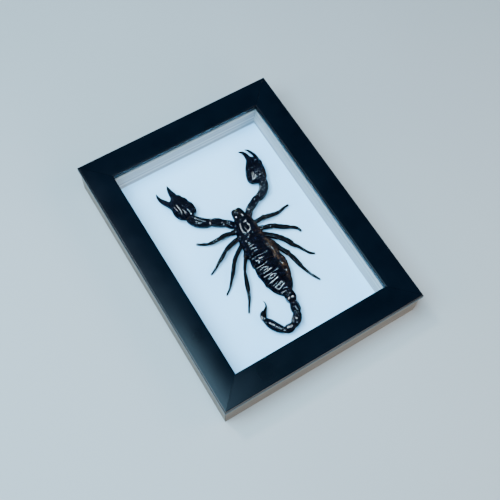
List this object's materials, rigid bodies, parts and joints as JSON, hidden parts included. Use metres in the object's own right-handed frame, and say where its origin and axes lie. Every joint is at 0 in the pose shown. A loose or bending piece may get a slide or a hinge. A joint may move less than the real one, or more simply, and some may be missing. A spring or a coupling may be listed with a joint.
{
  "type": "framed insect specimen",
  "caption": "Dried scorpion laid out on white board in a deep glazed wooden shadow box with a black mitred front frame.",
  "frame": {"origin": "middle of the back edge's plane, under the centre of the glass", "axes": "+Z out of the box through the glass, +Y towards the box's top edge, where the scorpion's head points, +X to the right as seen from the front"},
  "size_m": [0.16, 0.21, 0.03],
  "materials": {
    "black_paint": "black satin lacquer on wood",
    "pale_wood": "unpainted pale wood, sanded",
    "clear_glass": "clear, flat, polished",
    "white_lining": "white foam board with a paper face",
    "white_board": "white card, matt",
    "hardboard": "brown hardboard",
    "tab_steel": "plain thin steel",
    "hanger_brass": "brass-plated stamping",
    "cuticle": "blue-black dried cuticle, glossy"
  },
  "bodies": {
    "root": {"front_rail_bottom": "black_paint", "front_rail_right": "black_paint", "front_rail_top": "black_paint", "front_rail_left": "black_paint", "box_side_bottom": "pale_wood", "box_side_right": "pale_wood", "box_side_top": "pale_wood", "box_side_left": "pale_wood", "glass_pane": "clear_glass", "liner_bottom": "white_lining", "liner_right": "white_lining", "liner_top": "white_lining", "liner_left": "white_lining", "backing_board": "white_board", "back_panel": "hardboard", "retaining_tab_1": "tab_steel", "retaining_tab_2": "tab_steel", "retaining_tab_3": "tab_steel", "retaining_tab_4": "tab_steel", "retaining_tab_5": "tab_steel", "retaining_tab_6": "tab_steel", "hanger_plate": "hanger_brass", "scorpion": "cuticle"}
  },
  "joints": []
}
